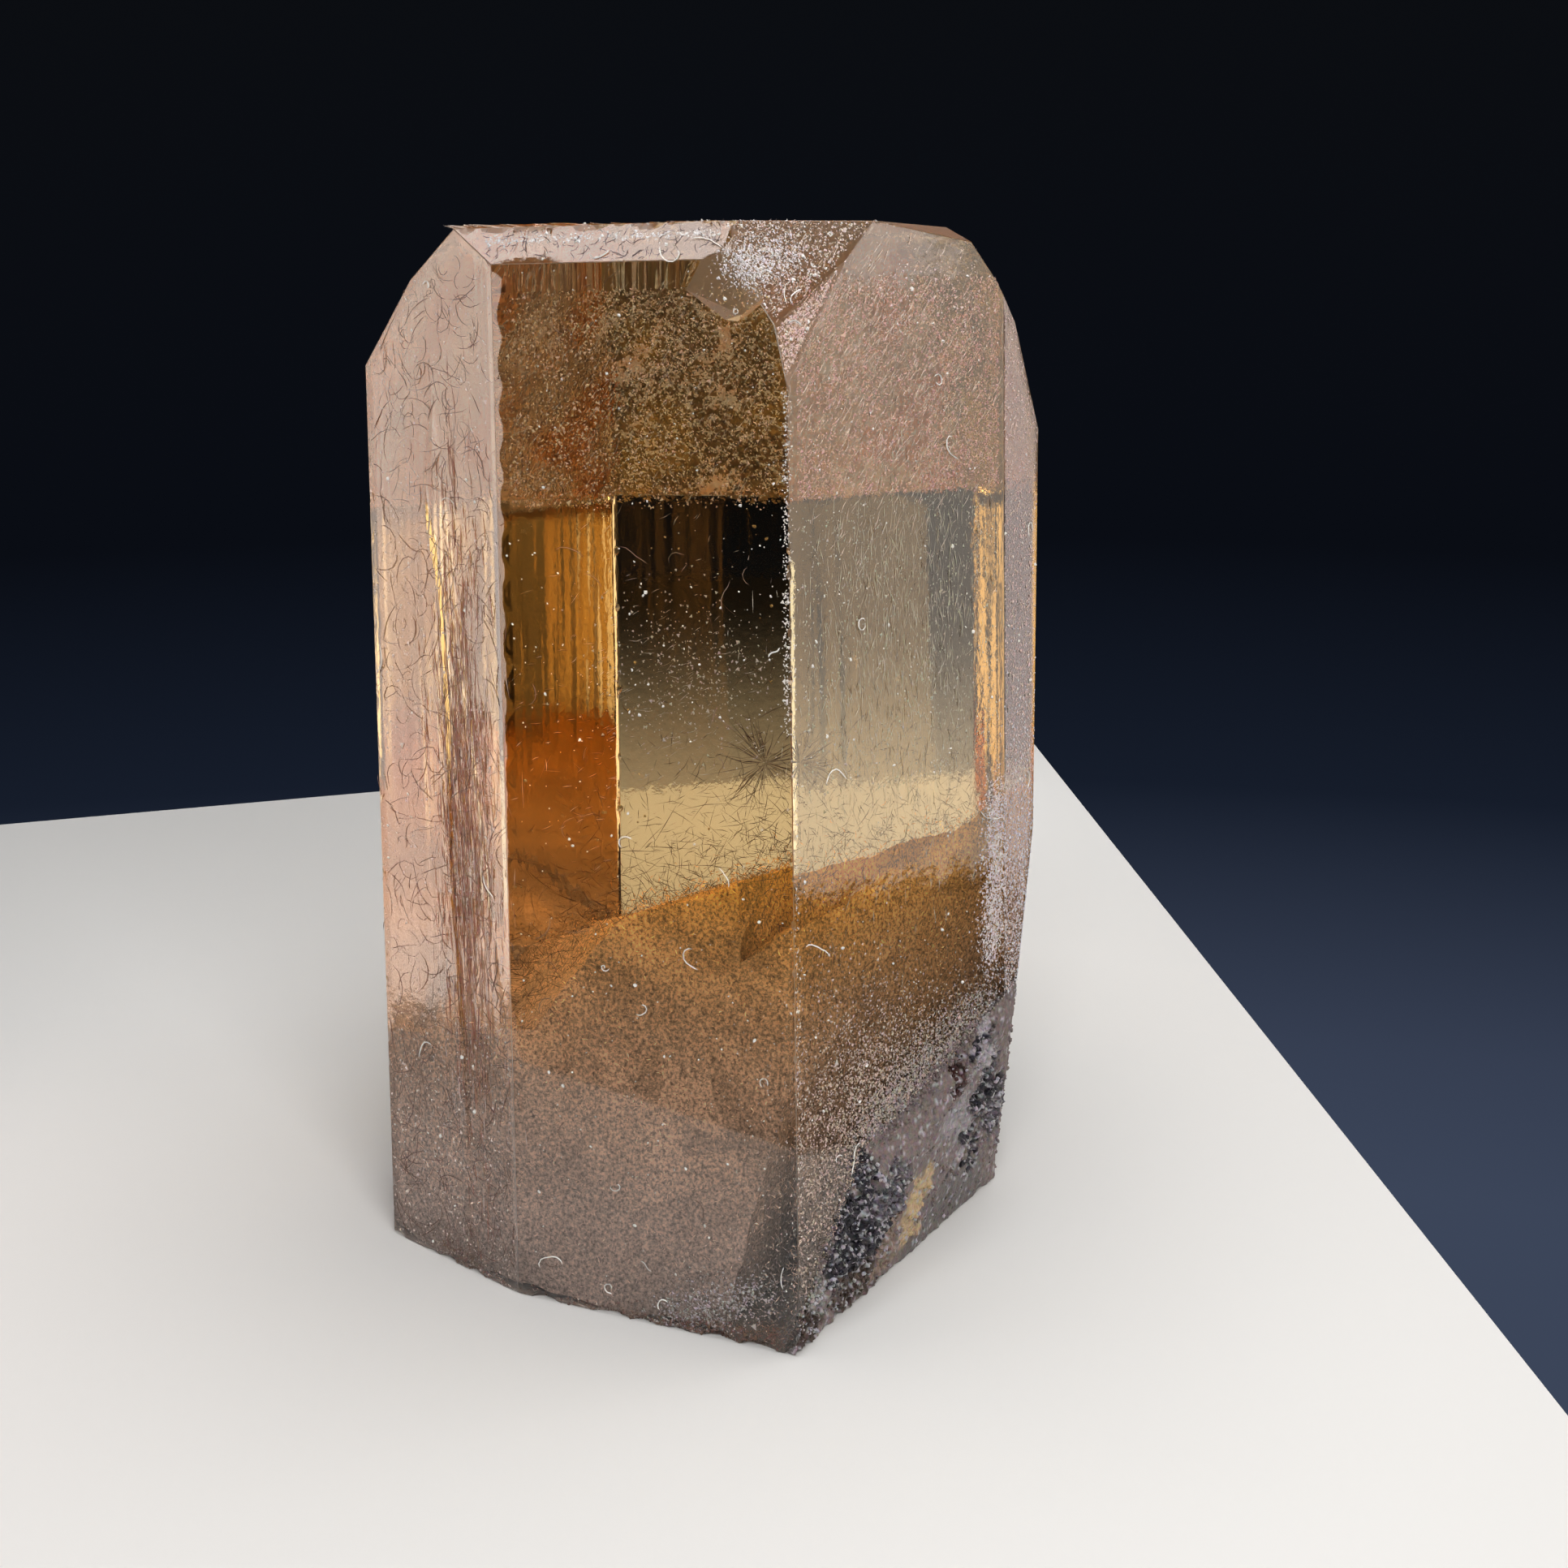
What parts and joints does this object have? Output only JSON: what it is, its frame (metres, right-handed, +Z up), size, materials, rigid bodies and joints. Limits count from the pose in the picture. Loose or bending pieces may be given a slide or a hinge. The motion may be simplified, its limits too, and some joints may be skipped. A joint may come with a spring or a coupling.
{
  "type": "topaz crystal",
  "caption": "Loose orange-brown topaz crystal: a stout striated prism with a flat-topped head, standing on its broken end, with a dark crust of host rock on one low corner.",
  "frame": {"origin": "middle of the bounding box, on the surface that the crystal stands on", "axes": "+Z up, -Y towards the viewer, +X to the right; the crystal's long axis leans 9 degrees back towards +Y"},
  "size_m": [0.0154, 0.0222, 0.0237],
  "materials": {
    "topaz": "clear orange-brown crystal with glossy to finely etched growth faces",
    "host_rock": "rough and granular, nearly black with whitish grains and an ochre patch"
  },
  "bodies": {
    "root": {"topaz_crystal": "topaz", "matrix_crust": "host_rock"}
  },
  "joints": []
}
